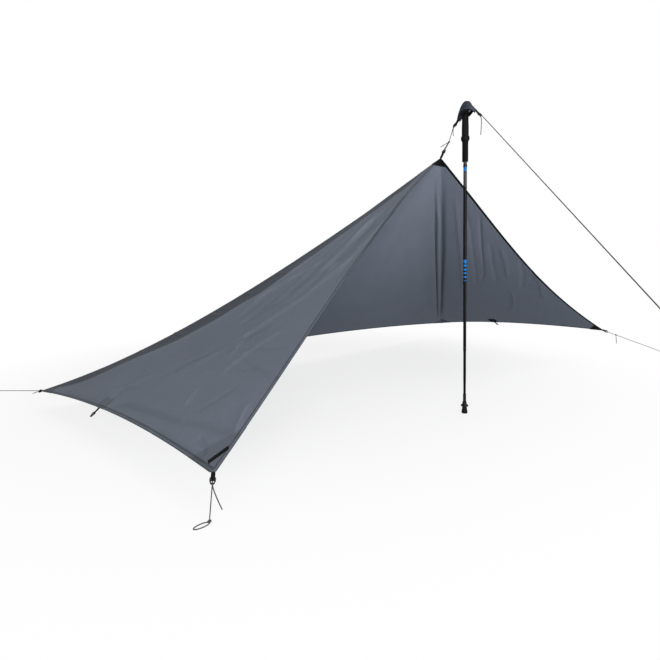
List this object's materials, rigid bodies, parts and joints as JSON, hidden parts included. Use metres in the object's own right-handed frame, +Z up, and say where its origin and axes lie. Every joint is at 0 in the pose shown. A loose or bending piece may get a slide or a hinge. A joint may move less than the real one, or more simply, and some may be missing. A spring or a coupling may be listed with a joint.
{
  "type": "trekking pole tent",
  "caption": "Half-pyramid tarp shelter pitched on one adjustable trekking pole, with a fabric hood over the grip, line-lock buckles, corner cords and a front guyline.",
  "frame": {"origin": "middle of the pole's rubber foot, on the ground", "axes": "+X along the rear edge to the right as seen from the open front, +Y to the rear, +Z up along the pole"},
  "size_m": [3.3554, 3.2747, 1.303],
  "materials": {
    "ripstop": "matte coated ripstop nylon",
    "webbing": "matte woven webbing and tape",
    "black_plastic": "satin moulded acetal",
    "cord": "matte braided cord",
    "grip_rubber": "matte moulded rubber",
    "foam": "matte closed-cell foam",
    "pole_tube": "glossy black anodised",
    "white_plastic": "satin moulded nylon",
    "steel": "zinc plated",
    "foot_rubber": "matte moulded rubber"
  },
  "bodies": {
    "tent": {"apex_buckle": "black_plastic", "apex_patch_inner": "webbing", "apex_patch_outer": "webbing", "apex_webbing": "webbing", "canopy": "ripstop", "foam_extension": "foam", "front_left_buckle": "black_plastic", "front_left_cord": "cord", "front_left_patch": "webbing", "front_left_peg_loop": "cord", "front_left_webbing": "webbing", "front_right_buckle": "black_plastic", "front_right_cord": "cord", "front_right_knot": "cord", "front_right_knot_tail": "cord", "front_right_loop": "cord", "front_right_patch": "webbing", "front_right_peg_loop": "cord", "front_right_webbing": "webbing", "front_tape_left": "webbing", "front_tape_right": "webbing", "grip": "grip_rubber", "guyline_cord": "cord", "guyline_peg_loop": "cord", "hood": "ripstop", "hood_front_buckle": "black_plastic", "hood_front_webbing": "webbing", "hood_rear_buckle": "black_plastic", "hood_rear_webbing": "webbing", "link_cord": "cord", "link_knot": "cord", "link_knot_tail": "cord", "link_loop": "cord", "neck_collar": "black_plastic", "rear_left_buckle": "black_plastic", "rear_left_cord": "cord", "rear_left_patch": "webbing", "rear_left_peg_loop": "cord", "rear_left_webbing": "webbing", "rear_right_patch": "webbing", "rear_right_webbing": "webbing", "side_left_patch": "webbing", "side_left_webbing": "webbing", "side_right_patch": "webbing", "side_right_webbing": "webbing", "upper_shaft": "pole_tube"},
    "middle_clamp": {"middle_expander": "white_plastic"},
    "middle_section": {"middle_shaft": "pole_tube", "middle_screw": "steel"},
    "lower_clamp": {"lower_expander": "white_plastic"},
    "lower_section": {"lower_shaft": "pole_tube", "lower_screw": "steel", "tip_ferrule": "black_plastic", "basket": "black_plastic", "carbide_tip": "steel", "rubber_foot": "foot_rubber"},
    "side_left_lock": {"side_left_buckle": "black_plastic"},
    "side_right_lock": {"side_right_buckle": "black_plastic"},
    "rear_right_lock": {"rear_right_buckle": "black_plastic"}
  },
  "joints": [
    {"name": "middle_slide", "type": "slide", "parent": "tent", "child": "middle_clamp", "axis": [0, 0, 1], "range_m": [0, 0.27]},
    {"name": "middle_twist", "type": "hinge", "parent": "middle_clamp", "child": "middle_section", "pos_m": [0, 0, 0], "axis": [0, 0, 1], "range_deg": [0, 180]},
    {"name": "lower_slide", "type": "slide", "parent": "middle_section", "child": "lower_clamp", "axis": [0, 0, 1], "range_m": [0, 0.165]},
    {"name": "lower_twist", "type": "hinge", "parent": "lower_clamp", "child": "lower_section", "pos_m": [0, 0, 0], "axis": [0, 0, 1], "range_deg": [0, 180]},
    {"name": "side_left_swing", "type": "hinge", "parent": "tent", "child": "side_left_lock", "pos_m": [-1.29014, 0.72498, 0.11555], "axis": [-0.1708, 0.9848, -0.0326], "range_deg": [-60, 60]},
    {"name": "side_right_swing", "type": "hinge", "parent": "tent", "child": "side_right_lock", "pos_m": [1.54616, 0.72809, 0.17605], "axis": [-0.1745, -0.9819, 0.0742], "range_deg": [-60, 60]},
    {"name": "rear_right_swing", "type": "hinge", "parent": "tent", "child": "rear_right_lock", "pos_m": [1.67734, 1.34252, 0.11774], "axis": [0.6469, -0.7604, 0.0575], "range_deg": [-60, 60]}
  ]
}
